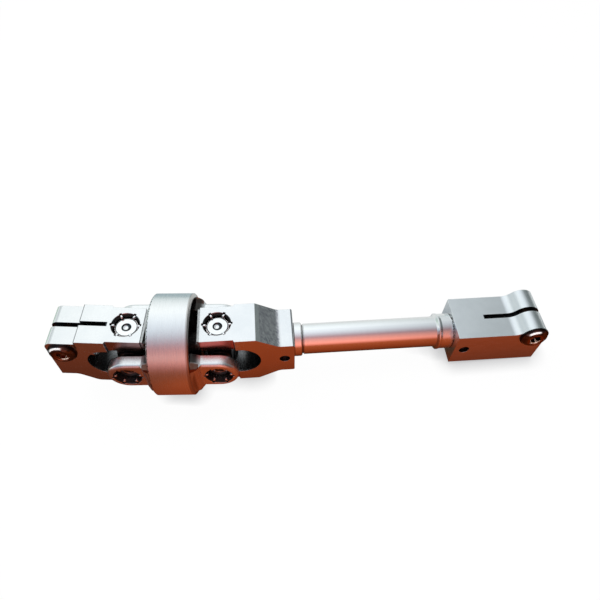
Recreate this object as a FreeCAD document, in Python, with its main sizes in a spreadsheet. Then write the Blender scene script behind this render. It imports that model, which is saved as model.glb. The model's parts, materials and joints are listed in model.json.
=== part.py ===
"""Steering shaft with a centred double universal joint, in millimetres.

From left to right: a clamp yoke, its cross, the centre ring, the second cross, the inner yoke,
the tube and the clamp block. The shaft lies as it rests on a flat surface, on the ring's rim and
the clamp block's lower edge. The origin is the middle of the clamp block's bore, +Z is up, and
the shaft runs along X.
"""

import FreeCAD, Part

import math
import os

import Sketcher

# Driving dimensions, in millimetres and degrees
SIZES = {
    # double joint
    "joint_spacing": 55.4,
    "rest_yaw": -2.33,
    "rest_pitch": 1.22,
    # fork, common to both yokes
    "ear_reach": 10.5,
    "fork_half_height": 21.9,
    "fork_gap_radius": 12.5,
    "fork_depth": 25.0,
    "yoke_half_width": 14.0,
    "ear_half_width": 12.7,
    "relief_end": 9.6,
    "relief_run": 0.7,
    # bearing cup, rollers and seal
    "trunnion_reach": 19.2,
    "cup_radius": 8.0,
    "cup_wall": 1.0,
    "cup_length": 6.7,
    "cup_floor": 1.5,
    "cup_edge": 1.6,
    "dimple_radius": 3.0,
    "dimple_depth": 0.95,
    "dimple_floor": 1.1,
    "dimple_wall": 2.3,
    "dimple_shoulder": 0.55,
    "rim_chamfer": 0.75,
    "trunnion_radius": 5.0,
    "running_gap": 0.03,
    "trunnion_play": 0.1,
    "seal_depth": 1.4,
    "seal_lip": 0.4,
    # stake marks
    "stake_reach": 9.4,
    "stake_width": 1.6,
    "stake_depth": 1.4,
    "stake_grip": 0.8,
    "grip_length": 1.2,
    "grip_sink": 0.2,
    # cross
    "hub_radius": 10.5,
    "hub_half_thickness": 7.5,
    "root_radius": 6.6,
    # left clamp yoke
    "left_yoke_length": 45.8,
    "left_boss_length": 18.2,
    "left_clamp_top": 19.9,
    "left_clamp_bottom": 14.5,
    "left_flat_length": 10.4,
    "left_flare_length": 11.2,
    "left_slit_end": 11.6,
    "left_bolt_inset": 9.0,
    "left_corner_radius": 4.5,
    "bore_overrun": 4.0,
    # inner yoke
    "inner_yoke_length": 46.1,
    "neck_length": 9.6,
    "slope_length": 13.6,
    "neck_half_height": 13.8,
    "neck_fillet": 7.0,
    "neck_hole_inset": 6.2,
    "neck_hole_radius": 3.3,
    "neck_socket_depth": 12.0,
    "end_chamfer": 0.8,
    # clamp joint: bore, slit and pinch bolt
    "clamp_bore_radius": 7.2,
    "slit_width": 3.0,
    "bolt_height": 11.5,
    "bolt_radius": 4.0,
    "bolt_clearance": 0.2,
    "thread_gap": 0.03,
    "bolt_length": 26.0,
    "flange_radius": 8.4,
    "flange_thickness": 1.3,
    "flange_bevel": 0.5,
    "head_radius": 7.9,
    "shoulder_radius": 7.1,
    "shoulder_height": 2.5,
    "crown_radius": 5.8,
    "head_height": 3.4,
    "dish_radius": 4.9,
    "dish_depth": 0.5,
    "socket_radius": 3.4,
    "socket_depth": 2.6,
    "mouth_chamfer": 0.8,
    # centre ring
    "ring_radius": 32.2,
    "ring_wall": 3.4,
    "ring_half_width": 12.1,
    "ring_chamfer": 0.7,
    "lug_radius": 12.0,
    "lug_face": 23.8,
    "lug_inner_face": 16.0,
    "lug_root": 4.0,
    "lug_root_half_height": 14.0,
    "lug_shoulder": 17.5,
    "lug_limit_radius": 28.2,
    "lug_edge": 2.4,
    # centring mechanism
    "plate_thickness": 1.4,
    "plate_half_height": 21.3,
    "plate_half_width": 12.0,
    "waist_half_width": 8.5,
    "waist_half_height": 13.5,
    "spigot_radius": 4.5,
    "ball_radius": 6.0,
    "stem_radius": 2.8,
    "stud_flange_radius": 6.5,
    "stud_flange_thickness": 2.0,
    "centring_clearance": 0.9,
    "liner_wall": 1.2,
    "socket_wall": 1.5,
    "socket_floor": 2.0,
    "socket_overrun": 3.0,
    "rivet_radius": 1.25,
    "rivet_place_across": 10.2,
    "rivet_place_up": 17.0,
    "rivet_depth": 3.5,
    "rivet_head_radius": 1.9,
    "rivet_head_height": 0.8,
    # tube
    "tube_radius": 9.75,
    "tube_wall": 2.2,
    "tube_visible_length": 101.0,
    "collar_radius": 10.8,
    "collar_length": 5.3,
    "collar_bevel": 0.7,
    "groove_radius": 9.2,
    "groove_length": 1.2,
    "bead_start": 10.4,
    "bead_radius": 11.6,
    "bead_length": 3.2,
    "bead_crest": 1.12,
    "tail_radius": 11.2,
    "tail_socket_depth": 16.0,
    # right clamp block
    "block_half_width": 15.3,
    "block_top": 13.2,
    "block_bottom": 14.0,
    "boss_radius": 8.7,
    "boss_place": 46.8,
    "boss_top": 19.0,
    "boss_fillet": 8.0,
    "block_bore_depth": 35.0,
    "block_slit_length": 36.0,
    "block_hole_place": 6.4,
    "block_hole_radius": 3.2,
}

STAKES = 6
FLATS = 6
CUT_MARGIN = 1.0

doc = FreeCAD.newDocument("steering_shaft")
sheet = doc.addObject("Spreadsheet::Sheet", "sizes")
for row, (word, number) in enumerate(SIZES.items(), start=1):
    sheet.set(f"A{row}", word)
    sheet.set(f"B{row}", str(number))
    sheet.setAlias(f"B{row}", word)
doc.recompute()

nodes = {}
V = FreeCAD.Vector
X_AXIS, Y_AXIS, Z_AXIS = V(1, 0, 0), V(0, 1, 0), V(0, 0, 1)


class Size:
    """A dimension as its number and as the expression that ties it to the sheet."""

    def __init__(self, number, text):
        self.number = float(number)
        self.text = text

    def __add__(self, other):
        other = as_size(other)
        return Size(self.number + other.number, f"({self.text} + {other.text})")

    def __sub__(self, other):
        other = as_size(other)
        return Size(self.number - other.number, f"({self.text} - {other.text})")

    def __mul__(self, factor):
        return Size(self.number * factor, f"({self.text} * {factor})")

    def __neg__(self):
        return self * -1


def as_size(value):
    return value if isinstance(value, Size) else Size(value, str(value))


def size(word):
    return Size(getattr(sheet, word), f"sizes.{word}")


def num(word):
    return float(getattr(sheet, word))


def bind(thing, **settings):
    """Set each property of a feature to a size, tied to the sheet."""
    for name, value in settings.items():
        value = as_size(value)
        setattr(thing, name, value.number)
        thing.setExpression(name, value.text)


# Frames and placements


def move(x=0.0, y=0.0, z=0.0):
    return FreeCAD.Placement(V(x, y, z), FreeCAD.Rotation())


def turn(axis, degrees):
    return FreeCAD.Placement(V(0, 0, 0), FreeCAD.Rotation(axis, degrees))


def add_node(name, thing, placement):
    """Keep a finished piece under its node name, moved to its place in the assembly."""
    thing.Label = name
    thing.Placement = placement
    nodes[name] = thing


def add_copy(name, master, placement):
    """A repeated piece: the master's solid at a place of its own."""
    copy = doc.addObject("Part::Feature", name)
    copy.Shape = master.Shape.copy()
    add_node(name, copy, placement)


# Sketches and features


def plane_sketch(body, name, role, offset=None):
    """A sketch on one of the body's own origin planes, shifted along the plane's normal."""
    sketch = body.newObject("Sketcher::SketchObject", name)
    plane = next(item for item in body.Origin.OriginFeatures if item.Role == role)
    sketch.AttachmentSupport = [(plane, "")]
    sketch.MapMode = "FlatFace"
    if offset is not None:
        offset = as_size(offset)
        sketch.AttachmentOffset = move(z=offset.number)
        sketch.setExpression("AttachmentOffset.Base.z", offset.text)
    return sketch


def outline(sketch, points):
    """Straight edges through the points, each corner held at its two distances."""
    points = [(as_size(x), as_size(y)) for x, y in points]
    count = len(points)
    first = sketch.GeometryCount
    for index in range(count):
        (x0, y0), (x1, y1) = points[index], points[(index + 1) % count]
        sketch.addGeometry(Part.LineSegment(V(x0.number, y0.number, 0), V(x1.number, y1.number, 0)))
    for index in range(count):
        following = first + (index + 1) % count
        sketch.addConstraint(Sketcher.Constraint("Coincident", first + index, 2, following, 1))
    for index, (x, y) in enumerate(points, start=first):
        for kind, distance in (("DistanceX", x), ("DistanceY", y)):
            rule = Sketcher.Constraint(kind, -1, 1, index, 1, distance.number)
            number = sketch.addConstraint(rule)
            sketch.setExpression(f"Constraints[{number}]", distance.text)
    return sketch


def circle(sketch, x, y, radius):
    """A circle with its centre held at two distances."""
    x, y, radius = as_size(x), as_size(y), as_size(radius)
    index = sketch.addGeometry(Part.Circle(V(x.number, y.number, 0), Z_AXIS, radius.number))
    for kind, distance in (("DistanceX", x), ("DistanceY", y)):
        number = sketch.addConstraint(Sketcher.Constraint(kind, -1, 1, index, 3, distance.number))
        sketch.setExpression(f"Constraints[{number}]", distance.text)
    number = sketch.addConstraint(Sketcher.Constraint("Radius", index, radius.number))
    sketch.setExpression(f"Constraints[{number}]", radius.text)
    return sketch


def pad(body, sketch, length, both_sides=True, reverse=False):
    feature = body.newObject("PartDesign::Pad", sketch.Name + "_pad")
    feature.Profile = sketch
    feature.SideType = "Symmetric" if both_sides else "One side"
    feature.Reversed = reverse
    bind(feature, Length=length)
    doc.recompute()
    return feature


def pocket(body, sketch, length=None, reverse=False):
    """Cut a sketch out of the body: through all both ways, or one way to a length."""
    before = body.Shape.Volume
    feature = body.newObject("PartDesign::Pocket", sketch.Name + "_pocket")
    feature.Profile = sketch
    if length is None:
        feature.SideType = "Symmetric"
        feature.Type = "ThroughAll"
    else:
        feature.SideType = "One side"
        feature.Type = "Length"
        feature.Reversed = reverse
        bind(feature, Length=length)
    doc.recompute()
    if body.Shape.Volume > before - CUT_MARGIN:
        raise RuntimeError(f"{sketch.Name} cut nothing out of {body.Label}")
    return feature


def revolve(name, points, around="V_Axis", role="XZ_Plane"):
    """A turned body: a half section swept once round the sketch's own axis."""
    body = doc.addObject("PartDesign::Body", name)
    sketch = outline(plane_sketch(body, name + "_section", role), points)
    feature = body.newObject("PartDesign::Revolution", name + "_turned")
    feature.Profile = sketch
    feature.ReferenceAxis = (sketch, [around])
    feature.Angle = 360
    doc.recompute()
    return body


def edges_where(shape, test):
    return [f"Edge{number}" for number, edge in enumerate(shape.Edges, start=1) if test(edge)]


def runs_along_y_at(x, z, slack=0.01):
    """A test for the straight edge along Y that passes through (x, z)."""
    def test(edge):
        ends = [vertex.Point for vertex in edge.Vertexes]
        if len(ends) != 2 or abs(ends[0].y - ends[1].y) < slack:
            return False
        return all(abs(end.x - x) < slack and abs(end.z - z) < slack for end in ends)
    return test


def circle_of(radius, centre, slack=0.01):
    """A test for a full or part circle of that radius about that centre."""
    def test(edge):
        curve = edge.Curve
        if not isinstance(curve, Part.Circle):
            return False
        return abs(curve.Radius - radius) < slack and (curve.Center - centre).Length < slack
    return test


def dress(body, kind, test, **settings):
    """Fillet or chamfer the edges of the body that pass the test."""
    base = body.Tip
    names = edges_where(base.Shape, test)
    if not names:
        raise RuntimeError(f"no edge to {kind.lower()} on {body.Label}")
    feature = body.newObject(f"PartDesign::{kind}", f"{body.Name}_{kind.lower()}")
    feature.Base = (base, names)
    bind(feature, **settings)
    doc.recompute()
    return feature


def box(name, length, width, height, placement):
    solid = doc.addObject("Part::Box", name)
    bind(solid, Length=length, Width=width, Height=height)
    solid.Placement = placement
    return solid


def fuse(name, pieces):
    joined = doc.addObject("Part::MultiFuse", name)
    joined.Shapes = pieces
    doc.recompute()
    return joined


def cut(name, base, tool):
    result = doc.addObject("Part::Cut", name)
    result.Base = base
    result.Tool = tool
    doc.recompute()
    return result


def compound(name, pieces):
    group = doc.addObject("Part::Compound", name)
    group.Links = pieces
    doc.recompute()
    return group


# Stake marks: the punch leaves a notch outside the bore and a grip of metal over the cup's edge


def stakes(name, face, bores):
    """Notches and grips round each bore; a bore is a placement whose +Z is the bore's axis."""
    notches, grips = [], []
    width = size("stake_width")
    inner = size("cup_radius") - size("stake_grip")
    for number, bore in enumerate(bores, start=1):
        for stake in range(STAKES):
            around = bore * turn(Z_AXIS, 360.0 * stake / STAKES)
            sideways = -num("stake_width") / 2
            mark = f"{name}_{number}_{stake + 1}"
            notch = around * move(inner.number, sideways, face.number - num("stake_depth"))
            notches.append(box(f"notch_{mark}", size("stake_reach") - inner, width,
                               size("stake_depth") * 2, notch))
            grip = around * move(inner.number, sideways, num("trunnion_reach") - num("grip_sink"))
            grips.append(box(f"grip_{mark}", size("grip_length"), width,
                             size("stake_grip"), grip))
    return compound(f"{name}_notches", notches), grips


def staked(name, thing, face, bores):
    notches, grips = stakes(name, face, bores)
    return cut(name + "_staked", fuse(name + "_gripped", [thing] + grips), notches)


# Yokes


def fork(body, side):
    """Open the fork, relieve the ears and bore them; side is where the shank lies along X."""
    reach, depth = size("ear_reach"), size("fork_depth")
    gap, margin = size("fork_gap_radius"), as_size(CUT_MARGIN)
    turn_centre = depth - gap
    opening = plane_sketch(body, "fork_opening", "XZ_Plane")
    far = (reach + margin) * -side
    near = turn_centre * side
    outline(opening, [(far, -gap), (near, -gap), (near, gap), (far, gap)])
    pocket(body, opening)
    pocket(body, circle(plane_sketch(body, "fork_round", "XZ_Plane"), near, 0, gap))
    for front in (1, -1):
        relief = plane_sketch(body, f"ear_relief_{'back' if front > 0 else 'front'}", "XY_Plane")
        inner, outer = size("ear_half_width") * front, (size("yoke_half_width") + margin) * front
        end = size("relief_end") * side
        shoulder = (size("relief_end") + size("relief_run")) * side
        wide = size("yoke_half_width") * front
        outline(relief, [(far, inner), (end, inner), (shoulder, wide), (shoulder, outer), (far, outer)])
        pocket(body, relief)
    pocket(body, circle(plane_sketch(body, "ear_bores", "XY_Plane"), 0, 0, size("cup_radius")))
    height = num("fork_half_height")
    mouths = [circle_of(num("cup_radius"), V(0, 0, up * height)) for up in (1, -1)]
    dress(body, "Chamfer", lambda edge: any(test(edge) for test in mouths), Size=size("rim_chamfer"))


def rivet_holes(body, side):
    """Four holes in the ear tips for the bridge plate's rivets."""
    tip = size("ear_reach") * -side
    sketch = plane_sketch(body, "rivet_holes", "YZ_Plane", offset=tip)
    across, up = size("rivet_place_across"), size("rivet_place_up")
    for y, z in ((across, up), (-across, up), (across, -up), (-across, -up)):
        circle(sketch, y, z, size("rivet_radius"))
    pocket(body, sketch, size("rivet_depth"), reverse=side > 0)


def clamp(body, side, end, slit_end, bolt_place, half_width, bore_depth):
    """Bore, slit and bolt hole of a clamp that opens at x = end, away from side."""
    bore = plane_sketch(body, "clamp_bore", "YZ_Plane", offset=end)
    circle(bore, 0, 0, size("clamp_bore_radius"))
    pocket(body, bore, bore_depth, reverse=side > 0)
    slit = plane_sketch(body, "slit", "XY_Plane")
    half = size("slit_width") * 0.5
    past = end + CUT_MARGIN * -side
    outline(slit, [(past, -half), (slit_end, -half), (slit_end, half), (past, half)])
    pocket(body, slit, size("boss_top") + size("fork_half_height"), reverse=True)
    tapped = plane_sketch(body, "tapped_hole", "XZ_Plane")
    circle(tapped, bolt_place, size("bolt_height"), size("bolt_radius") + size("thread_gap"))
    pocket(body, tapped)
    clearance = plane_sketch(body, "clearance_hole", "XZ_Plane")
    circle(clearance, bolt_place, size("bolt_height"), size("bolt_radius") + size("bolt_clearance"))
    pocket(body, clearance, half_width + CUT_MARGIN, reverse=True)
    mouth = circle_of(num("clamp_bore_radius"), V(end.number, 0, 0))
    dress(body, "Chamfer", mouth, Size=size("mouth_chamfer"))


def left_clamp_yoke():
    """The yoke that clamps the upper shaft, its fork open towards the ring."""
    body = doc.addObject("PartDesign::Body", "left_yoke_body")
    high, end = size("fork_half_height"), -size("left_yoke_length")
    top, bottom = size("left_clamp_top"), -size("left_clamp_bottom")
    step, flat = end + size("left_boss_length"), end + size("left_flat_length")
    flare = flat + size("left_flare_length")
    reach = size("ear_reach")
    side_view = plane_sketch(body, "left_yoke_outline", "XZ_Plane")
    outline(side_view, [(reach, high), (step, high), (step, top), (end, top), (end, bottom),
                        (flat, bottom), (flare, -high), (reach, -high)])
    pad(body, side_view, size("yoke_half_width") * 2)
    dress(body, "Fillet", runs_along_y_at(end.number, top.number), Radius=size("left_corner_radius"))
    for place in (flat, bottom), (flare, -high):
        corner = runs_along_y_at(place[0].number, place[1].number)
        dress(body, "Fillet", corner, Radius=size("neck_fillet"))
    fork(body, side=-1)
    rivet_holes(body, side=-1)
    depth = size("left_yoke_length") - size("fork_depth") + size("bore_overrun")
    clamp(body, 1, end, -size("left_slit_end"), end + size("left_bolt_inset"), size("yoke_half_width"),
          depth)
    return staked("left_yoke", body, high, ear_axes())


def inner_yoke():
    """The yoke at the tube's end, its fork open towards the ring."""
    body = doc.addObject("PartDesign::Body", "inner_yoke_body")
    high, low, end = size("fork_half_height"), size("neck_half_height"), size("inner_yoke_length")
    stop, reach = end - size("neck_length"), size("ear_reach")
    start = stop - size("slope_length")
    side_view = plane_sketch(body, "inner_yoke_outline", "XZ_Plane")
    outline(side_view, [(-reach, high), (start, high), (stop, low), (end, low), (end, -low),
                        (stop, -low), (start, -high), (-reach, -high)])
    pad(body, side_view, size("yoke_half_width") * 2)
    for up in (1, -1):
        corner = runs_along_y_at(stop.number, up * low.number)
        dress(body, "Fillet", corner, Radius=size("neck_fillet"))
    corners = [runs_along_y_at(end.number, up * low.number) for up in (1, -1)]
    dress(body, "Chamfer", lambda edge: any(test(edge) for test in corners), Size=size("end_chamfer"))
    fork(body, side=1)
    rivet_holes(body, side=1)
    socket = circle(plane_sketch(body, "tube_socket", "YZ_Plane", offset=end), 0, 0, size("tube_radius"))
    pocket(body, socket, size("neck_socket_depth"))
    hole = plane_sketch(body, "neck_hole", "XZ_Plane")
    pocket(body, circle(hole, end - size("neck_hole_inset"), 0, size("neck_hole_radius")))
    return staked("inner_yoke", body, high, ear_axes())


def ear_axes():
    return [turn(X_AXIS, degrees) for degrees in (0, 180)]


# Crosses and their bearings


def cross_body():
    """Two crossed double trunnions on a short round hub whose axis lies along X."""
    reach = size("trunnion_reach") - size("cup_floor") - size("trunnion_play")
    radius, root, hub = size("trunnion_radius"), size("root_radius"), size("hub_radius")
    shoulder = hub + (size("root_radius") - size("trunnion_radius"))
    half = [(0, reach), (radius, reach), (radius, shoulder), (root, hub), (root, -hub),
            (radius, -shoulder), (radius, -reach), (0, -reach)]
    upright = revolve("upright_trunnions", half)
    level = doc.addObject("Part::Feature", "level_trunnions")
    level.Shape = upright.Shape.copy()
    level.Placement = turn(X_AXIS, 90)
    thick = size("hub_half_thickness")
    disc = revolve("hub", [(-thick, 0), (-thick, hub), (thick, hub), (thick, 0)], around="H_Axis")
    return fuse("cross_master", [upright, level, disc])


def cup_body():
    """A drawn bearing cup, closed outwards, with a dimple pressed in its floor."""
    top = size("trunnion_reach")
    low = top - size("cup_length")
    ceiling = top - size("cup_floor")
    outer = size("cup_radius")
    inner = outer - size("cup_wall")
    dimple, deep, edge = size("dimple_radius"), size("dimple_depth"), size("cup_edge")
    floor, wall, shoulder = size("dimple_floor"), size("dimple_wall"), size("dimple_shoulder")
    section = [(0, top - deep), (floor, top - deep), (wall, top - shoulder), (dimple, top),
               (outer - edge, top), (outer, top - edge), (outer, low), (inner, low),
               (inner, ceiling), (0, ceiling)]
    return revolve("cup_master", section)


def roller_body():
    """The full row of needle rollers between cup and trunnion, as one sleeve."""
    inner = size("trunnion_radius") + size("running_gap")
    outer = size("cup_radius") - size("cup_wall")
    low = size("trunnion_reach") - size("cup_length") + size("seal_depth")
    high = size("trunnion_reach") - size("cup_floor") - size("trunnion_play")
    return revolve("roller_master", [(inner, low), (outer, low), (outer, high), (inner, high)])


def seal_body():
    """The rubber seal in the cup's mouth, with a lip round the trunnion's root."""
    inner = size("trunnion_radius") + size("running_gap")
    seat = size("cup_radius") - size("cup_wall")
    mouth = size("trunnion_reach") - size("cup_length")
    depth, lip = size("seal_depth"), size("seal_lip")
    return revolve("seal_master", [(inner, mouth + depth), (seat, mouth + depth), (seat, mouth),
                                   (inner, mouth - lip)])


def bearing(name, frame, masters):
    """Cup, rollers and seal of one trunnion; the frame's +Z points out along the trunnion."""
    for kind, master in masters.items():
        add_copy(f"{name}_{kind}", master, frame)


# Centre ring


def lug_body():
    """The front right lug of the ring, in the ring's own frame."""
    body = doc.addObject("PartDesign::Body", "lug_body")
    place, tip, root = size("joint_spacing") * 0.5, size("lug_radius"), size("lug_root")
    tall, inner = size("lug_root_half_height"), size("lug_inner_face")
    edge, shoulder = size("ring_half_width"), size("lug_shoulder")
    thickness = size("ring_radius") - size("ring_wall") * 0.5 - inner
    web = plane_sketch(body, "lug_web", "XZ_Plane", offset=inner)
    outline(web, [(root, -tall), (edge, -tall), (shoulder, -tip), (shoulder, tip), (edge, tall),
                  (root, tall)])
    pad(body, web, thickness, both_sides=False)
    side = plane_sketch(body, "lug_side", "XZ_Plane", offset=inner)
    outline(side, [(root, -tip), (place, -tip), (place, tip), (root, tip)])
    pad(body, side, size("lug_face") - inner, both_sides=False)
    rounded = circle(plane_sketch(body, "lug_tip", "XZ_Plane", offset=inner), place, 0, tip)
    pad(body, rounded, size("lug_face") - inner, both_sides=False)
    trim_inside_ring(body)
    above = plane_sketch(body, "lug_shoulder_cut", "XY_Plane")
    face, margin = -size("lug_face"), as_size(CUT_MARGIN)
    far = -(size("ring_radius") + margin)
    wall = size("ring_wall") * 0.5 - size("ring_radius")
    end = place + tip + margin
    outline(above, [(shoulder, face), (end, face), (end, far), (edge, far), (edge, wall)])
    pocket(body, above)
    dress(body, "Fillet", rim_of_lug, Radius=size("lug_edge"))
    return body


def trim_inside_ring(body):
    """Turn away what stands out of the ring's wall, in a cone beyond the ring's edge."""
    start, edge, shoulder = size("lug_root") - CUT_MARGIN, size("ring_half_width"), size("lug_shoulder")
    limit = size("lug_limit_radius")
    wall, far = size("ring_radius") - size("ring_wall") * 0.5, size("ring_radius")
    end = size("joint_spacing") * 0.5 + size("lug_radius") + CUT_MARGIN
    before = body.Shape.Volume
    sketch = outline(plane_sketch(body, "lug_limit", "XY_Plane"), [
        (start, wall), (edge, wall), (shoulder, limit), (end, limit), (end, far + limit),
        (start, far + limit)])
    groove = body.newObject("PartDesign::Groove", "lug_trim")
    groove.Profile = sketch
    groove.ReferenceAxis = (sketch, ["H_Axis"])
    groove.Angle = 360
    doc.recompute()
    if not 0 < body.Shape.Volume < before:
        raise RuntimeError("the lug was not trimmed")


def rim_of_lug(edge, slack=0.01):
    """The edges round the lug's outer face, apart from its crease towards the ring."""
    ends = [vertex.Point for vertex in edge.Vertexes]
    on_face = all(abs(end.y + num("lug_face")) < slack for end in ends)
    return on_face and any(end.x > num("lug_shoulder") + slack for end in ends)


def bore_tool(name, face):
    """The cutter of one bearing bore, with its chamfered mouth at the face."""
    radius, mouth = size("cup_radius"), size("rim_chamfer")
    return revolve(name, [(0, 0), (radius, 0), (radius, face - mouth), (radius + mouth, face),
                          (radius + mouth, face + mouth), (0, face + mouth)])


def centre_ring():
    """The ring with two lugs on each side, bored for the level trunnions of both crosses."""
    outer, half, bevel = size("ring_radius"), size("ring_half_width"), size("ring_chamfer")
    inner = outer - size("ring_wall")
    section = [(-half, inner + bevel), (-half, outer - bevel), (bevel - half, outer),
               (half - bevel, outer), (half, outer - bevel), (half, inner + bevel),
               (half - bevel, inner), (bevel - half, inner)]
    shell = revolve("ring_shell", section, around="H_Axis")
    lug = lug_body()
    turns = [turn(X_AXIS, 0), turn(X_AXIS, 180), turn(Y_AXIS, 180), turn(Z_AXIS, 180)]
    lugs = []
    for number, placement in enumerate(turns, start=1):
        copy = doc.addObject("Part::Feature", f"lug_{number}")
        copy.Shape = lug.Shape.copy()
        copy.Placement = placement
        lugs.append(copy)
    rough = fuse("ring_rough", [shell] + lugs)
    tool = bore_tool("lug_bore_tool", size("lug_face"))
    bores = lug_axes()
    cutters = []
    for number, placement in enumerate(bores, start=1):
        copy = doc.addObject("Part::Feature", f"lug_bore_{number}")
        copy.Shape = tool.Shape.copy()
        copy.Placement = placement
        cutters.append(copy)
    bored = cut("ring_bored", rough, fuse("lug_bores", cutters))
    return staked("centre_ring", bored, size("lug_face"), bores)


def lug_axes():
    """Bore frames in the ring's frame: right front, right back, left front, left back."""
    place = num("joint_spacing") / 2
    return [move(x) * turn(X_AXIS, degrees) for x in (place, -place) for degrees in (90, -90)]


# Centring mechanism


def bridge_plate(name):
    """The waisted plate across two ear tips, in the YZ plane, its near face at x = 0."""
    body = doc.addObject("PartDesign::Body", name)
    wide, tall = size("plate_half_width"), size("plate_half_height")
    waist, low = size("waist_half_width"), size("waist_half_height")
    easing = low - (wide - waist)
    shape = plane_sketch(body, name + "_outline", "YZ_Plane")
    outline(shape, [(-wide, -tall), (wide, -tall), (wide, -low), (waist, -easing), (waist, easing),
                    (wide, low), (wide, tall), (-wide, tall), (-wide, low), (-waist, easing),
                    (-waist, -easing), (-wide, -low)])
    pad(body, shape, size("plate_thickness"), both_sides=False)
    holes = plane_sketch(body, name + "_holes", "YZ_Plane")
    circle(holes, 0, 0, size("spigot_radius"))
    across, up = size("rivet_place_across"), size("rivet_place_up")
    for y, z in ((across, up), (-across, up), (across, -up), (-across, -up)):
        circle(holes, y, z, size("rivet_radius"))
    pocket(body, holes)
    return body


def plate_rivets(name):
    """Four rivets that hold a bridge plate, heads on the plate's far face."""
    head = size("rivet_head_height")
    shank, far = -size("rivet_depth"), size("plate_thickness")
    small, big = size("rivet_radius"), size("rivet_head_radius")
    rivet = revolve(name + "_master", [(shank, 0), (shank, small), (far, small), (far, big),
                                       (far + head, small), (far + head, 0)], around="H_Axis")
    copies = []
    for y in (1, -1):
        for z in (1, -1):
            copy = doc.addObject("Part::Feature", f"{name}_{len(copies) + 1}")
            copy.Shape = rivet.Shape.copy()
            copy.Placement = move(0, y * num("rivet_place_across"), z * num("rivet_place_up"))
            copies.append(copy)
    return compound(name, copies)


def ball_stud():
    """Spigot, flange and stem turned about X, with the centring ball at the end."""
    start = size("ear_reach")
    plate = start + size("plate_thickness")
    flange = plate + size("stud_flange_thickness")
    centre = size("joint_spacing") * 0.5
    spigot, wide, stem = size("spigot_radius"), size("stud_flange_radius"), size("stem_radius")
    shaft = revolve("stud_shaft", [(start, 0), (start, spigot), (plate, spigot), (plate, wide),
                                   (flange, wide), (flange, stem), (centre, stem), (centre, 0)],
                    around="H_Axis")
    ball = doc.addObject("Part::Sphere", "stud_ball")
    bind(ball, Radius=size("ball_radius"))
    ball.Placement = move(centre.number)
    return fuse("ball_stud", [shaft, ball])


def centring_socket():
    """The steel socket on the inner yoke's plate, open towards the ball."""
    start = -size("ear_reach")
    plate = start - size("plate_thickness")
    floor = plate - size("socket_floor")
    mouth = -(size("joint_spacing") * 0.5 + size("socket_overrun"))
    liner = size("ball_radius") + size("centring_clearance") + size("liner_wall")
    outer = liner + size("socket_wall")
    spigot = size("spigot_radius")
    return revolve("centring_socket", [(start, 0), (start, spigot), (plate, spigot), (plate, outer),
                                       (mouth, outer), (mouth, liner), (floor, liner), (floor, 0)],
                   around="H_Axis")


def centring_liner():
    """The plastic sleeve in the socket, which the ball slides in."""
    floor = -(size("ear_reach") + size("plate_thickness") + size("socket_floor"))
    mouth = -(size("joint_spacing") * 0.5 + size("socket_overrun"))
    inner = size("ball_radius") + size("centring_clearance")
    outer = inner + size("liner_wall")
    bevel = size("liner_wall") * 0.5
    return revolve("centring_liner", [(floor, inner), (floor, outer), (mouth, outer),
                                      (mouth, inner + bevel), (mouth + bevel, inner)], around="H_Axis")


# Tube and clamp block


def shaft_tube():
    """The tube from the inner yoke's socket to the clamp block's, with its collar and bead."""
    radius, tail, wall = size("tube_radius"), size("tail_radius"), size("tube_wall")
    yoke = size("inner_yoke_length")
    block = yoke + size("tube_visible_length")
    start = yoke - size("neck_socket_depth")
    end = block + size("tail_socket_depth")
    collar, groove = yoke + size("collar_length"), size("groove_radius")
    after = collar + size("groove_length")
    bevel = size("collar_bevel")
    bead = block - size("bead_start")
    crest, done = bead + size("bead_crest"), bead + size("bead_length")
    inner = radius - wall
    section = [(start, inner), (start, radius), (yoke, radius), (yoke, size("collar_radius")),
               (collar - bevel, size("collar_radius")), (collar, size("collar_radius") - bevel),
               (collar, groove), (after, groove), (after, radius), (bead, radius),
               (crest, size("bead_radius")), (crest + bevel, size("bead_radius")), (done, tail),
               (end, tail), (end, inner)]
    return revolve("tube", section, around="H_Axis")


def clamp_block():
    """The block that clamps the lower shaft; its left face lies at x = 0."""
    body = doc.addObject("PartDesign::Body", "block_body")
    top, bottom = size("block_top"), -size("block_bottom")
    centre, radius = size("boss_place"), size("boss_radius")
    height = size("boss_top") - radius
    end = centre + radius
    side_view = plane_sketch(body, "block_outline", "XZ_Plane")
    outline(side_view, [(0, bottom), (end, bottom), (end, height), (centre, top), (0, top)])
    pad(body, side_view, size("block_half_width") * 2)
    boss = circle(plane_sketch(body, "boss", "XZ_Plane"), centre, height, radius)
    pad(body, boss, size("block_half_width") * 2)
    rise = num("block_top") - height.number
    foot = centre.number - math.sqrt(radius.number ** 2 - rise ** 2)
    dress(body, "Fillet", runs_along_y_at(foot, top.number), Radius=size("boss_fillet"))
    socket = plane_sketch(body, "tube_socket", "YZ_Plane")
    pocket(body, circle(socket, 0, 0, size("tail_radius")), size("tail_socket_depth"), reverse=True)
    hole = plane_sketch(body, "block_hole", "XZ_Plane")
    pocket(body, circle(hole, size("block_hole_place"), 0, size("block_hole_radius")))
    clamp(body, -1, end, end - size("block_slit_length"), centre, size("block_half_width"),
          size("block_bore_depth"))
    return body


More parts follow.
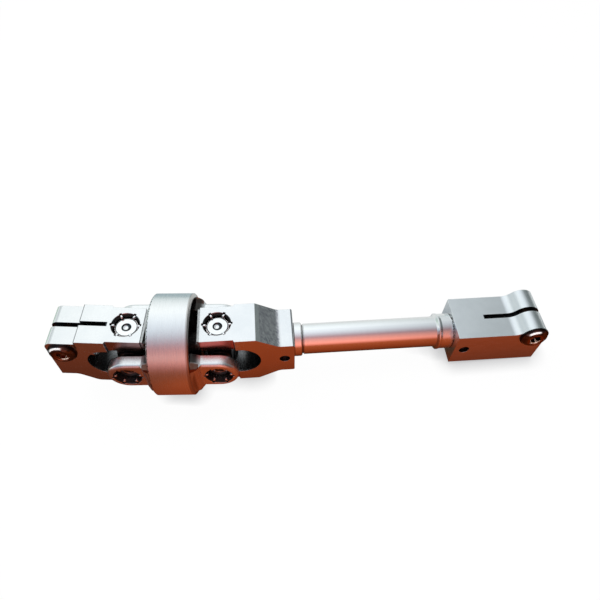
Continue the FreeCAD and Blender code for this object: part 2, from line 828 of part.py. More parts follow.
def pinch_bolt():
    """A flanged button screw: the seat at z = 0, its head towards +Z and its shank towards -Z."""
    shank, thin = size("bolt_radius"), size("flange_thickness")
    flange, head, high = size("flange_radius"), size("head_radius"), size("head_height")
    tip, bevel, rim = -size("bolt_length"), size("mouth_chamfer"), size("flange_bevel")
    shoulder, crown, dish = size("shoulder_radius"), size("crown_radius"), size("dish_radius")
    dished = high - size("dish_depth")
    body = revolve("bolt_turned", [(0, tip), (shank - bevel, tip), (shank, tip + bevel), (shank, 0),
                                   (flange, 0), (flange, thin - rim), (head, thin),
                                   (shoulder, size("shoulder_height")), (crown, high), (dish, high),
                                   (dish - size("dish_depth"), dished), (0, dished)])
    floor = dished - size("socket_depth")
    socket = doc.addObject("Part::Prism", "hex_socket")
    socket.Polygon = int(FLATS)
    bind(socket, Circumradius=size("socket_radius"), Height=size("socket_depth") * 2)
    socket.Placement = move(z=floor.number)
    return cut("bolt_master", body, socket)


# Assembly frames, each in the frame of the inner yoke first


def resting_frames():
    """Placements of every sub-assembly, with the shaft lying on the ring's rim and the block."""
    half = num("joint_spacing") / 2
    right_cross = turn(Z_AXIS, num("rest_yaw"))
    right_lugs = right_cross * turn(Y_AXIS, num("rest_pitch"))
    ring = right_lugs * move(-half)
    left_lugs = ring * move(-half)
    left_cross = left_lugs * turn(Y_AXIS, num("rest_pitch"))
    left_yoke = left_cross * turn(Z_AXIS, num("rest_yaw"))
    block = move(num("inner_yoke_length") + num("tube_visible_length"))
    rim = ring.multVec(V(num("ring_half_width") - num("ring_chamfer"), 0, -num("ring_radius")))
    end = num("boss_place") + num("boss_radius")
    corner = block.multVec(V(end, 0, -num("block_bottom")))
    lean = math.degrees(math.atan2(corner.z - rim.z, corner.x - rim.x))
    bore_middle = end - num("block_bore_depth") / 2
    origin = block.multVec(V(bore_middle, 0, 0))
    world = turn(Y_AXIS, lean) * move(-origin.x)
    print(f"lean {lean:.3f}")
    frames = {"shaft": move(), "right_cross": right_cross, "right_lugs": right_lugs, "ring": ring,
              "left_lugs": left_lugs, "left_cross": left_cross, "left_yoke": left_yoke, "block": block}
    return {name: world * frame for name, frame in frames.items()}


def build():
    at = resting_frames()
    masters = {"cup": cup_body(), "rollers": roller_body(), "seal": seal_body()}
    cross = cross_body()
    forks = {"left": at["left_yoke"], "right": at["shaft"]}
    lugs = {"left": at["left_lugs"], "right": at["right_lugs"]}
    for side in ("left", "right"):
        add_copy(f"{side}_cross", cross, at[f"{side}_cross"])
        for place, degrees in (("top", 0), ("bottom", 180)):
            bearing(f"{side}_{place}", forks[side] * turn(X_AXIS, degrees), masters)
        for place, degrees in (("front", 90), ("back", -90)):
            bearing(f"{side}_{place}", lugs[side] * turn(X_AXIS, degrees), masters)
    add_node("left_clamp_yoke", left_clamp_yoke(), at["left_yoke"])
    add_node("inner_yoke", inner_yoke(), at["shaft"])
    add_node("centre_ring", centre_ring(), at["ring"])
    tip = num("ear_reach")
    plates = {"left": at["left_yoke"] * move(tip), "right": at["shaft"] * move(-tip) * turn(Z_AXIS, 180)}
    for side, place in plates.items():
        add_node(f"{side}_bridge_plate", bridge_plate(f"{side}_plate"), place)
        add_node(f"{side}_plate_rivets", plate_rivets(f"{side}_rivets"), place)
    add_node("centring_ball_stud", ball_stud(), at["left_yoke"])
    add_node("centring_socket", centring_socket(), at["shaft"])
    add_node("centring_liner", centring_liner(), at["shaft"])
    add_node("shaft_tube", shaft_tube(), at["shaft"])
    add_node("right_clamp_block", clamp_block(), at["block"])
    bolt = pinch_bolt()
    bolt_turn = turn(X_AXIS, 90)
    height = num("bolt_height")
    inset = num("left_bolt_inset") - num("left_yoke_length")
    seats = {"left": at["left_yoke"] * move(inset, -num("yoke_half_width"), height),
             "right": at["block"] * move(num("boss_place"), -num("block_half_width"), height)}
    for side, seat in seats.items():
        add_copy(f"{side}_pinch_bolt", bolt, seat * bolt_turn)
    return at


def check_document():
    for thing in doc.Objects:
        faults = [word for word in thing.State if word in ("Invalid", "Error")]
        if faults:
            raise RuntimeError(f"{thing.Name} is {faults[0]}")
        solid = thing.TypeId in ("PartDesign::Body", "Part::Feature", "Part::MultiFuse", "Part::Cut")
        if solid and (thing.Shape.isNull() or thing.Shape.Volume <= 0):
            raise RuntimeError(f"{thing.Name} is empty")
    for name, thing in nodes.items():
        if thing.Shape.isNull() or not thing.Shape.isValid() or thing.Shape.Volume <= 0:
            raise RuntimeError(f"{name} has no valid solid")


def write_parts():
    os.makedirs("parts", exist_ok=True)
    for name, thing in nodes.items():
        thing.Shape.exportStep(f"parts/{name}.step")


def report(at):
    """Print where the joints and clamps lie in the row's frame."""
    for name, frame in at.items():
        axes = [frame.Rotation.multVec(axis) for axis in (X_AXIS, Y_AXIS, Z_AXIS)]
        print("frame", name, [round(v, 6) for v in frame.Base],
              [[round(v, 8) for v in axis] for axis in axes])
    print(len(nodes), "nodes", round(sum(thing.Shape.Volume for thing in nodes.values())), "mm3")


places = build()
doc.recompute()
check_document()
write_parts()
report(places)
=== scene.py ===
# %% [markdown]
# # A steering shaft with a centred double joint
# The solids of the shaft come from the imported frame. They are in metres and already lie where they
# belong, so nothing is fitted here. This script gives each solid its finish, adds the small pieces
# that a machinist would see, and sets up a pale table, soft light and the camera.

# %% Load the frame
import json
import math

import bpy
from mathutils import Matrix, Vector


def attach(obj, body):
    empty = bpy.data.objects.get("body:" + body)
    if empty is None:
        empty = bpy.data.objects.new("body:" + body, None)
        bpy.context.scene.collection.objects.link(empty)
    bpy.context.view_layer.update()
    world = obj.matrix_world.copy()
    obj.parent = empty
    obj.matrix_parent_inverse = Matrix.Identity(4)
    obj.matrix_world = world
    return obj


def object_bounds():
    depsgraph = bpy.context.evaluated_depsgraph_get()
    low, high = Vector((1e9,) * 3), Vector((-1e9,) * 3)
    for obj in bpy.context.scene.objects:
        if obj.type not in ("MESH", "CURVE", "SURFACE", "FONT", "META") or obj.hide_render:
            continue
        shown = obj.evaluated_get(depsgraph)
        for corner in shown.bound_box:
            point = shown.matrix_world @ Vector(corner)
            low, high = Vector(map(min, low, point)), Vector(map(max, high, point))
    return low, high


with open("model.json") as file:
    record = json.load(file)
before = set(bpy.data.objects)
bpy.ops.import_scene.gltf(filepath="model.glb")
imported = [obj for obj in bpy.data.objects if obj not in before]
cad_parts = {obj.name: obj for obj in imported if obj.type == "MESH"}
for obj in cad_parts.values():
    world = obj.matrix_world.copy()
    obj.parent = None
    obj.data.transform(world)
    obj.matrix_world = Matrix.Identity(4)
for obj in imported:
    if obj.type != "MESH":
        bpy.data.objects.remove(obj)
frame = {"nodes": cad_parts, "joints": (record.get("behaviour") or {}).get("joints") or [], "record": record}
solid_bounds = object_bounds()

bpy.ops.object.select_all(action="DESELECT")
print("pieces in the frame:", len(frame["nodes"]))

# %% [markdown]
# ## Where things are
# The record carries each hinge's point and axis. From them come three places: the inner yoke with
# its tube, the ring, and the left yoke. A `Place` is an origin with three axes, so a size in
# millimetres from the drawing can be used directly, although the parts lie a little askew.

# %% Three places
MM = 0.001
JOINTS = {joint["name"]: joint for joint in frame["joints"]}
MOUNTS = {mount["name"]: mount for mount in frame["record"]["mounts"]}


class Place:
    """An origin and three axes, which patterns and new pieces are laid out on."""

    def __init__(self, origin, along, up):
        self.origin = Vector(origin)
        self.x = Vector(along).normalized()
        self.z = (Vector(up) - Vector(up).dot(self.x) * self.x).normalized()
        self.y = self.z.cross(self.x)

    def matrix(self):
        columns = Matrix((self.x, self.y, self.z)).transposed().to_4x4()
        return Matrix.Translation(self.origin) @ columns

    def point(self, x, y, z):
        """The place of a point given in millimetres along the three axes."""
        return self.origin + (x * self.x + y * self.y + z * self.z) * MM


def hinge(name):
    return Vector(JOINTS[name]["pos_m"]), Vector(JOINTS[name]["axis"])


BETWEEN = hinge("right_pitch")[0] - hinge("left_pitch")[0]
SHAFT = Place(hinge("right_yaw")[0], MOUNTS["right_clamp"]["axis"], hinge("right_yaw")[1])
YOKE = Place(hinge("left_yaw")[0], -Vector(MOUNTS["left_clamp"]["axis"]), hinge("left_yaw")[1])
RING = Place(hinge("left_pitch")[0] + BETWEEN / 2, BETWEEN, BETWEEN.cross(hinge("left_pitch")[1]))
print("spacing of the two crosses, mm:", round(BETWEEN.length / MM, 2))

# %% [markdown]
# ## Shader maths as expressions
# A material is easier to read as a sum than as a web of nodes. `Field` wraps one socket and
# overloads the operators, so `0.3 + 0.1 * noise` adds the Math nodes that it needs.

# %% Fields


class Field:
    """A number that varies over a surface. Arithmetic on it adds Math nodes."""

    def __init__(self, nodes, socket):
        self.nodes = nodes
        self.socket = socket

    def maths(self, operation, first, second=0.0):
        return self.nodes.node("Math", {"operation": operation}, {0: first, 1: second})

    def __add__(self, other):
        return self.maths("ADD", self, other)

    __radd__ = __add__

    def __mul__(self, other):
        return self.maths("MULTIPLY", self, other)

    __rmul__ = __mul__

    def __sub__(self, other):
        return self.maths("SUBTRACT", self, other)

    def __rsub__(self, other):
        return self.maths("SUBTRACT", other, self)

    def __truediv__(self, other):
        return self.maths("DIVIDE", self, other)

    def __rtruediv__(self, other):
        return self.maths("DIVIDE", other, self)

    def __pow__(self, other):
        return self.maths("POWER", self, other)

    def most(self, other):
        return self.maths("MAXIMUM", self, other)

    def size(self):
        """The number without its sign."""
        return self.maths("ABSOLUTE", self)

    def ramp(self, start, end):
        """0 at start and 1 at end, with a smooth step between; start may be the larger."""
        inputs = {"Value": self, "From Min": start, "From Max": end}
        return self.nodes.node("MapRange", {"interpolation_type": "SMOOTHSTEP"}, inputs)

    def between(self, low, high, soft):
        """1 between two values and 0 outside them."""
        return self.ramp(low - soft, low) * self.ramp(high + soft, high)


# %% [markdown]
# `Nodes` owns one node tree, of a material or of the world, and adds every node through one method:
# first the node's settings, then the values or links of its sockets.

# %% Node trees
BEVEL_SAMPLES = 6
EDGE_WEAR = (0.02, 0.2)  # how far a softened normal leans at the start and in full wear


class Nodes:
    """A node tree that is built in code."""

    def __init__(self, tree):
        self.tree = tree

    def node(self, kind, settings=None, inputs=None, output=0):
        made = self.tree.nodes.new("ShaderNode" + kind)
        for name, value in (settings or {}).items():
            if name == "stops":
                self.set_stops(made.color_ramp, value)
            else:
                setattr(made, name, value)
        for name, value in (inputs or {}).items():
            self.feed(made.inputs[name], value)
        return Field(self, made.outputs[output])

    def set_stops(self, ramp, stops):
        while len(ramp.elements) < len(stops):
            ramp.elements.new(0.5)
        for element, (position, colour) in zip(ramp.elements, stops):
            element.position, element.color = position, (*colour, 1)

    def feed(self, socket, value):
        if isinstance(value, Field):
            self.tree.links.new(value.socket, socket)
        elif socket.type == "RGBA":
            socket.default_value = (*value, 1)
        else:
            socket.default_value = value

    def mix(self, factor, first, second, blend="MIX"):
        """The first colour where factor is 0 and the second where it is 1."""
        settings = {"data_type": "RGBA", "blend_type": blend}
        return self.node("Mix", settings, {0: factor, 6: first, 7: second}, output=2)

    def vector(self, operation, first, second=(0, 0, 0), output=0):
        return self.node("VectorMath", {"operation": operation}, {0: first, 1: second}, output)

    def parts(self, vector):
        return [self.node("SeparateXYZ", {}, {0: vector}, output=axis) for axis in "XYZ"]


class Finish(Nodes):
    """One material, on the Object coordinates of the piece that it is given to."""

    def __init__(self, name):
        self.material = bpy.data.materials.new(name)
        self.material.use_nodes = True
        super().__init__(self.material.node_tree)
        self.shader = self.tree.nodes["Principled BSDF"]
        self.coordinates = self.node("TexCoord", output="Object")

    def along(self, origin, axis):
        """Millimetres from a point along an axis."""
        offset = self.vector("SUBTRACT", self.coordinates, tuple(origin))
        return self.vector("DOT_PRODUCT", offset, tuple(axis.normalized() / MM), output="Value")

    def in_place(self, place):
        """The three coordinates in a place, in millimetres."""
        return [self.along(place.origin, axis) for axis in (place.x, place.y, place.z)]

    def from_line(self, point, direction):
        """Millimetres from the line through a point."""
        offset = self.vector("SUBTRACT", self.coordinates, tuple(point))
        across = self.vector("CROSS_PRODUCT", offset, tuple(direction.normalized() / MM))
        return self.vector("LENGTH", across, output="Value")

    def noise(self, vector=None, scale=1.0, detail=3.0, roughness=0.55):
        """Noise on the coordinates, or on a vector or three numbers."""
        if isinstance(vector, tuple):
            vector = self.node("CombineXYZ", {}, dict(enumerate(vector)))
        inputs = {"Vector": vector or self.coordinates, "Scale": scale, "Detail": detail,
                  "Roughness": roughness}
        return self.node("TexNoise", {}, inputs, output="Fac")

    def soften(self, radius):
        """The normal as it would be if every edge were rounded, by radius in millimetres."""
        return self.node("Bevel", {"samples": BEVEL_SAMPLES}, {"Radius": radius * MM})

    def rub(self, colour, worn, radius=0.4):
        """A colour that turns to worn within radius, in millimetres, of an edge."""
        flat = self.node("NewGeometry", output="Normal")
        lean = 1 - self.vector("DOT_PRODUCT", self.soften(radius), flat, output="Value")
        return self.mix(lean.ramp(*EDGE_WEAR), colour, worn)

    def finish_with(self, colour, roughness, height, bump=0.1, bevel=0.3, metallic=1.0):
        """Feed the shader: colour, roughness, and a bump on edges softened by bevel millimetres."""
        inputs = {"Strength": bump, "Distance": MM, "Height": height,
                  "Normal": self.soften(bevel)}
        fed = {"Base Color": colour, "Roughness": roughness, "Metallic": metallic,
               "Normal": self.node("Bump", {}, inputs)}
        for name, value in fed.items():
            self.feed(self.shader.inputs[name], value)
        return self.material


# %% [markdown]
# ## Masks that several finishes share
# Machined aluminium is bright wherever a cutter or a cloth has been. Painted shade darkens the
# places that light hardly reaches: slits, cross holes and bearing bores, and the six stake marks
# that lock each bearing cup. Each mask is worked out from distances, so the painted shade lies
# exactly in its corner of the solid.

# %% Painted shade in recesses
CUP_LINES = {"left": hinge("left_yaw"), "right": hinge("right_yaw"),
             "left_level": hinge("left_pitch"), "right_level": hinge("right_pitch")}
EAR_FACE, LUG_FACE = 21.9, 23.8
BORE_RADIUS, STAKE_REACH = 8.0, 9.4
SLIT_WALL, ABOVE_BORE = (1.62, 1.54), (4.0, 6.0)
# The first colour serves both painted shade in recesses and the real dark oil of dried grease and of the
# tube's block joint.
DARK_OIL_AND_SHADE, SHADE = (0.016, 0.014, 0.014), (0.05, 0.06, 0.07)
OIL_AND_SHADE_COVER = 0.95


def bore_and_stake_shade(finish, line, face):
    """Painted shade in a bearing bore and in the stake marks round its mouth; face is the face's height."""
    far = finish.from_line(*CUP_LINES[line])
    height = finish.along(*CUP_LINES[line]).size()
    ragged = finish.noise(scale=1600)
    bore = (far + 0.4 * (ragged - 0.5)).ramp(BORE_RADIUS + 0.3, BORE_RADIUS + 0.1)
    marks = far.ramp(STAKE_REACH + 0.5, STAKE_REACH + 0.1) * height.ramp(face - 0.1, face - 0.25)
    return bore.most(marks)


def cross_hole(finish, place, along, radius, half):
    """Painted shade in a hole that runs along Y and crosses the axis at a given place along it."""
    x, y, z = finish.in_place(place)
    far = ((x - along) ** 2 + z ** 2) ** 0.5
    return far.ramp(radius + 0.15, radius + 0.02) * y.size().ramp(half, half - 0.4)


def slit_walls(finish, place, start, side):
    """Painted shade on the walls of a clamp's slit, which opens from start away from side."""
    x, y, z = finish.in_place(place)
    walls = y.size().ramp(*SLIT_WALL)
    return walls * ((start - x) * side).ramp(-0.4, -0.2) * z.ramp(*ABOVE_BORE)


print("bearing lines:", ", ".join(CUP_LINES))

# %% [markdown]
# ## The yokes
# Each yoke is milled from aluminium bar. Its flats show very fine, slanting cutter lines, a faint
# cloudiness, and a brighter line on every rubbed edge. The slopes of the inner yoke's neck have
# coarser, darker streaks. Stretched noise gives the lines: one coordinate counts much more than
# the others.

# %% Yoke finish
NECK_HOLE, NECK_HOLE_RADIUS, NECK_END, YOKE_HALF = 39.9, 3.3, 46.1, 14.0
STEP, CLAMP_END, SLIT_START = -27.6, -45.8, -11.2
FORK_END, FORK_HALF, EAR_END, EAR_HALF = -26.0, 12.9, 10.4, 12.4
SHOULDER, CHEEK_HALF, CHEEK_TOP = -9.8, 13.2, 21.5
SLOPE_START, SLOPE_END, SLOPE_FOOT, SLOPE_TOP = 25.5, 37.0, 14.0, 21.7
CLOUD_SPAN = (0.35, 0.7)
DULL, BRIGHT, CUTTER = (0.83, 0.845, 0.86), (0.90, 0.905, 0.91), (0.80, 0.81, 0.83)
STREAK_DARK, STREAK_PALE = (0.42, 0.41, 0.47), (1.0, 0.98, 1.0)
# The fork's dark colour is painted shade.
RUBBED, FORK_SHADE = (0.96, 0.96, 0.96), (0.075, 0.075, 0.078)
# Amounts of painted shade: inside the fork, on the ear ends, at the neck's end and at the step.
FORK_SHADE_COVER, EAR_END_SHADE, NECK_SHADE, STEP_SHADE = 0.8, 0.93, 0.8, 0.75


def streaked_slopes(finish, clean, x, y, z):
    """Coarse cutter streaks on the two slopes of the inner yoke's neck."""
    streaks = finish.noise((x * 2.2 + y * 1.6, y * 0.25 - x * 0.35, z * 0.2), detail=5)
    streaked = finish.mix(streaks.ramp(0.38, 0.62), STREAK_DARK, STREAK_PALE)
    slope = x.between(SLOPE_START, SLOPE_END, 0.4) * z.size().between(SLOPE_FOOT, SLOPE_TOP, 0.2)
    return finish.mix(slope * y.size().ramp(YOKE_HALF, YOKE_HALF - 0.2), clean, streaked)


def yoke_finish(name, place, line, side, cheek_reflection):
    """Milled aluminium with painted shade in its fork and recesses and a painted warm reflection on its ear
    cheeks; side is 1 for the left yoke and -1 for the inner.
    """
    finish = Finish(name)
    x, y, z = finish.in_place(place)
    lines = finish.noise((x * 4.5 - y * 2.2, y * 0.45 + x * 0.2, z * 0.5), detail=4)
    clouds = finish.noise(scale=70)
    clean = finish.mix(clouds.ramp(*CLOUD_SPAN), DULL, BRIGHT)
    brushed = finish.mix(0.5 * lines.ramp(0.35, 0.65), clean, CUTTER)
    # Painted shade in the bearing bore and its stake marks, and on the inner yoke in its cross hole.
    recess_shade = bore_and_stake_shade(finish, line, EAR_FACE)
    if side < 0:
        brushed = streaked_slopes(finish, brushed, x, y, z)
        recess_shade = recess_shade.most(cross_hole(finish, place, NECK_HOLE, NECK_HOLE_RADIUS, YOKE_HALF))
        shade = NECK_SHADE * (x.ramp(NECK_END - 1.3, NECK_END - 1.0) * z.ramp(13.0, 13.5))
    else:
        front = x.ramp(CLAMP_END + 0.6, CLAMP_END + 0.3)
        step = x.between(STEP - 0.5, STEP + 0.3, 0.3).most(front) * z.ramp(15.0, 16.0)
        shade = slit_walls(finish, place, SLIT_START, 1).most(STEP_SHADE * step)
    fork = z.size().ramp(FORK_HALF, FORK_HALF - 0.3) * y.size().ramp(EAR_HALF + 1, EAR_HALF)
    inside = fork * (x * side).ramp(FORK_END, FORK_END + 0.8)
    cheek = (y.size().between(EAR_HALF, CHEEK_HALF, 0.3)
             * z.size().between(FORK_HALF, CHEEK_TOP, 0.25))
    ear_front = cheek * (x * side).ramp(SHOULDER - 0.3, SHOULDER)
    ear_end = (x * side).ramp(EAR_END - 0.2, EAR_END + 0.1) * z.size().ramp(21.6, 20.4)
    # Painted shade inside the fork.
    shaded_inside = finish.mix(inside * FORK_SHADE_COVER, finish.rub(brushed, RUBBED), FORK_SHADE)
    # Painted warm reflection of the floor on the ear cheeks.
    with_reflection = finish.mix(ear_front, shaded_inside, cheek_reflection)
    # Painted shade on the ear ends, the slit walls, the step and the neck's end.
    shaded = finish.mix(shade.most(ear_end * EAR_END_SHADE), with_reflection, SHADE)
    colour = finish.mix(recess_shade * OIL_AND_SHADE_COVER, shaded, DARK_OIL_AND_SHADE)
    roughness = 0.16 + 0.12 * lines + 0.06 * clouds + 0.2 * recess_shade
    return finish.finish_with(colour, roughness, lines, bump=0.045)


# Painted warm reflections for the ear cheeks.
LEFT_CHEEK_REFLECTION, INNER_CHEEK_REFLECTION = (0.50, 0.36, 0.32), (0.85, 0.32, 0.28)
LEFT_YOKE = yoke_finish("milled_left_yoke", YOKE, "left", 1, LEFT_CHEEK_REFLECTION)
INNER_YOKE = yoke_finish("milled_inner_yoke", SHAFT, "right", -1, INNER_CHEEK_REFLECTION)
print("finished:", LEFT_YOKE.name, INNER_YOKE.name)

# %% [markdown]
# ## The ring
# The ring is turned, then brushed round its outside, so its streaks run round the axis: the noise
# counts many times per millimetre along the axis and hardly at all round it. Inside it has painted
# shade. Painted shade also darkens its right end and the corners beside the lug webs, and the webs
# carry painted shade and a painted warm reflection. A broken dark line of dried grease lies along
# its left edge.

# %% Ring finish
RING_BORE, RING_HALF, LUG_INNER, RIM = 29.0, 12.1, 16.0, 10.4
OUTER_RIM, INNER_RIM, WEB_HEIGHT, WEB_END = (31.0, 31.6), (29.5, 30.0), (11.9, 15.5), 16.5
SPREAD = (0.3, 0.7)
RING_DULL, RING_BRIGHT = (0.83, 0.84, 0.85), (0.94, 0.95, 0.96)
# Painted colours: shade at the right end, shade and warm reflection on the webs, shade inside.
RIGHT_END_SHADE, WEB_SHADE_REFLECTION, INSIDE_SHADE = (0.26, 0.21, 0.18), (0.22, 0.085, 0.055), (0.045, 0.04, 0.037)


def ring_inside_shade(x, y, from_axis, patches):
    """Painted shade inside the ring: in its bore, and on the faces of the lugs that look inwards."""
    bore = (from_axis + 1.2 * (patches - 0.5)).ramp(RING_BORE + 0.3, RING_BORE - 0.3)
    reach = y.size().ramp(22.5, 21.5).most(y.ramp(10.0, 12.0))
    hollow = bore * x.size().ramp(RING_HALF + 5.5, RING_HALF + 2.5) * reach
    lug_faces = y.size().ramp(LUG_INNER + 0.6, LUG_INNER + 0.2)
    return hollow.most(lug_faces * from_axis.ramp(RING_BORE, RING_BORE - 1))


def ring_finish():
    """Brushed aluminium with painted shade inside and at its right end, dried greasy specks on one edge, and
    painted shade and warm reflection on the webs.
    """
    finish = Finish("brushed_ring")
    x, y, z = finish.in_place(RING)
    streaks = finish.noise((x * 7, y * 0.12, z * 0.12), detail=4, roughness=0.6)
    broad = finish.noise((x * 1.1, y * 0.1, z * 0.1), detail=2)
    from_axis = (y ** 2 + z ** 2) ** 0.5
    inside_shade = ring_inside_shade(x, y, from_axis, finish.noise(scale=150, detail=4))
    # Painted shade in the lugs' bearing bores and stake marks.
    recess_shade = bore_and_stake_shade(finish, "left_level", LUG_FACE).most(
        bore_and_stake_shade(finish, "right_level", LUG_FACE))
    rim = x.between(0.3 - RING_HALF, 0.9 - RING_HALF, 0.25) * from_axis.ramp(*OUTER_RIM)
    dried = rim * finish.noise(scale=900, detail=2).ramp(0.45, 0.55) * 0.85
    web = z.size().between(*WEB_HEIGHT, 0.5) * x.size().between(RING_HALF, WEB_END, 0.3)
    # Painted shade and warm reflection on the webs beside the lugs.
    web_shade = web * y.size().ramp(21.5, 23.0)
    # Painted shade on the ring's right end.
    right_end_shade = x.ramp(RIM, RIM + 0.3) * from_axis.ramp(*INNER_RIM) * 0.75
    # Painted shade in the corners beside the lug webs.
    root = (x.size().between(RING_HALF + 0.2, RING_HALF + 1.5, 1.5)
            * from_axis.ramp(30.5, 29.5))
    clean = finish.mix(streaks.ramp(*SPREAD), RING_DULL, RING_BRIGHT)
    rubbed = finish.rub(clean, RUBBED, radius=0.5)
    corner_and_end_shaded = finish.mix(root.most(right_end_shade) * 0.7, rubbed, RIGHT_END_SHADE)
    web_shaded = finish.mix(web_shade * 0.95, corner_and_end_shaded, WEB_SHADE_REFLECTION)
    # Painted shade inside the ring.
    shaded_inside = finish.mix(inside_shade * 0.93, web_shaded, INSIDE_SHADE)
    colour = finish.mix(recess_shade.most(dried) * OIL_AND_SHADE_COVER, shaded_inside, DARK_OIL_AND_SHADE)
    roughness = 0.2 + 0.12 * streaks + 0.06 * broad + 0.2 * recess_shade
    return finish.finish_with(colour, roughness, streaks + broad, bump=0.05, bevel=0.6)


RING_METAL = ring_finish()
print("finished:", RING_METAL.name)

# %% [markdown]
# ## The tube
# Turned and polished, the tube is the most mirror-like piece. Thin dark lines of painted shade lie in
# the crease at the inner yoke's neck and at the collar's step, and a dotted dark joint shows where it
# enters the clamp block.

# %% Tube finish
NECK_SEAM, COLLAR_END, BLOCK_SEAM = 46.3, 51.4, 147.0
TUBE_DULL, TUBE_BRIGHT = (0.88, 0.89, 0.90), (0.96, 0.96, 0.97)


def tube_finish():
    """Polished steel with fine turning rings, painted shade at the neck and the collar, and a dotted dark
    joint at the block.
    """
    finish = Finish("turned_tube")
    x, y, z = finish.in_place(SHAFT)
    rings = finish.noise((x * 12, y * 0.1, z * 0.1))
    grain = finish.noise(scale=5000, detail=1)
    dots = finish.noise(scale=1500, detail=1)
    # Painted shade at the collar's step and in the crease at the neck; the dotted block seam is a dark
    # joint.
    collar = 0.8 * x.between(COLLAR_END - 0.1, COLLAR_END + 0.7, 0.3)
    neck = x.between(NECK_SEAM - 0.6, NECK_SEAM + 0.3, 0.2).most(collar)
    block = x.between(BLOCK_SEAM - 0.6, BLOCK_SEAM + 0.6, 0.2) * dots.ramp(0.42, 0.5)
    clean = finish.mix(rings.ramp(*SPREAD), TUBE_DULL, TUBE_BRIGHT)
    colour = finish.mix(neck.most(block) * OIL_AND_SHADE_COVER, clean, DARK_OIL_AND_SHADE)
    roughness = 0.15 + 0.07 * rings + 0.05 * grain
    return finish.finish_with(colour, roughness, rings, bump=0.02)


TUBE_METAL = tube_finish()
print("finished:", TUBE_METAL.name)

# %% [markdown]
# ## The clamp block
# The block has a finer, more matt grain than the yokes and so looks a little greyer. Its slit and
# its cross hole have painted shade inside.

# %% Block finish
BLOCK_HOLE, BLOCK_HOLE_RADIUS, BLOCK_HALF, BLOCK_SLIT = 153.5, 3.2, 15.3, 166.6
BLOCK_DULL, BLOCK_BRIGHT, BLOCK_RUBBED = (0.78, 0.81, 0.83), (0.83, 0.86, 0.88), (0.93, 0.95, 0.95)


def block_finish():
    """Matt aluminium with a fine grain, with painted shade in the slit and in the cross hole."""
    finish = Finish("matt_block")
    x, y, z = finish.in_place(SHAFT)
    grain = finish.noise(scale=4000)
    clouds = finish.noise((x * 0.12, y * 0.12, z * 0.5))
    clean = finish.mix(clouds.ramp(0.3, 0.75), BLOCK_DULL, BLOCK_BRIGHT)
    rubbed = finish.rub(clean, BLOCK_RUBBED)
    # Painted shade in the cross hole and on the slit's walls.
    hole = cross_hole(finish, SHAFT, BLOCK_HOLE, BLOCK_HOLE_RADIUS, BLOCK_HALF)
    shaded = finish.mix(slit_walls(finish, SHAFT, BLOCK_SLIT, -1), rubbed, SHADE)
    colour = finish.mix(hole * OIL_AND_SHADE_COVER, shaded, DARK_OIL_AND_SHADE)
    roughness = 0.24 + 0.1 * grain + 0.05 * clouds
    return finish.finish_with(colour, roughness, grain, bump=0.04)


BLOCK_METAL = block_finish()
print("finished:", BLOCK_METAL.name)

# %% [markdown]
# ## Pinch bolts
# Blackened bolt steel with a film of oil. The flange stays black, the crown is rubbed to a brown
# sheen, and the hex socket keeps a coppery tint where the key has worn the black away, with painted
# light on its left side and painted shade on its right. Painted highlights sit on the flange's top
# edge and on the socket's lower rim. The zones are distances from the bolt's axis, so they follow
# the turned shape.

# %% Bolt finish
LEFT_BOLT, RIGHT_BOLT, BOLT_HEIGHT = -36.8, 193.9, 11.5
BOLT_LINES = {"left_pinch_bolt": (YOKE.point(LEFT_BOLT, 0, BOLT_HEIGHT), YOKE.y),
              "right_pinch_bolt": (SHAFT.point(RIGHT_BOLT, 0, BOLT_HEIGHT), SHAFT.y)}
SOCKET_EDGE, DISH_EDGE, FLANGE_START = (3.5, 3.2), (5.2, 4.7), (7.6, 7.95)
BLACKENED, CROWN_DARK, CROWN_PALE = (0.02, 0.018, 0.018), (0.08, 0.07, 0.065), (0.17, 0.15, 0.14)
# The socket's colours are painted light on its left and painted shade on its right.
DISH, SOCKET_LIT, SOCKET_SHADE = (0.30, 0.17, 0.10), (0.45, 0.25, 0.14), (0.03, 0.03, 0.025)
# The glint colours are painted highlights.
SOCKET_GLINT, GLINT = (1.0, 0.78, 0.68), (1.0, 1.0, 1.0)


def bolt_finish(name):
    """Oiled black steel: a rubbed crown, a coppery socket with painted light on its left and painted shade
    on its right, and painted glints at the top and the bottom.
    """
    finish = Finish("oiled_" + name)
    far = finish.from_line(*BOLT_LINES[name])
    blotches = finish.noise(scale=700, detail=4)
    up = finish.along(BOLT_LINES[name][0], SHAFT.z) / far
    sideways = finish.along(BOLT_LINES[name][0], SHAFT.x) / far
    wobbly = far + 0.5 * (blotches - 0.5)
    crown = finish.mix(blotches.ramp(*CLOUD_SPAN), CROWN_DARK, CROWN_PALE)
    dished = finish.mix(wobbly.ramp(*DISH_EDGE), crown, DISH)
    # Painted light on the socket's left side and painted shade on its right.
    socket = finish.mix(sideways.ramp(-0.2, 0.5), SOCKET_LIT, SOCKET_SHADE)
    worn = finish.mix(far.ramp(*SOCKET_EDGE), dished, socket)
    blackened = finish.mix(wobbly.ramp(*FLANGE_START), worn, BLACKENED)
    # Painted highlights, made non-metallic so the lamps light them: on the flange's top edge and on the
    # socket's lower rim.
    glint = far.between(6.6, 7.2, 0.3) * (up - 0.35 * sideways).ramp(0.85, 1.0)
    socket_glint = far.between(3.3, 4.1, 0.2) * (0.35 * sideways - up).ramp(0.55, 0.85)
    rubbed = finish.mix(socket_glint * blotches.ramp(0.4, 0.5), blackened, SOCKET_GLINT)
    colour = finish.mix(glint, rubbed, GLINT)
    return finish.finish_with(colour, 0.12 + 0.14 * blotches, blotches, bump=0.06, bevel=0.4,
                              metallic=1 - glint.most(socket_glint) * 0.9)


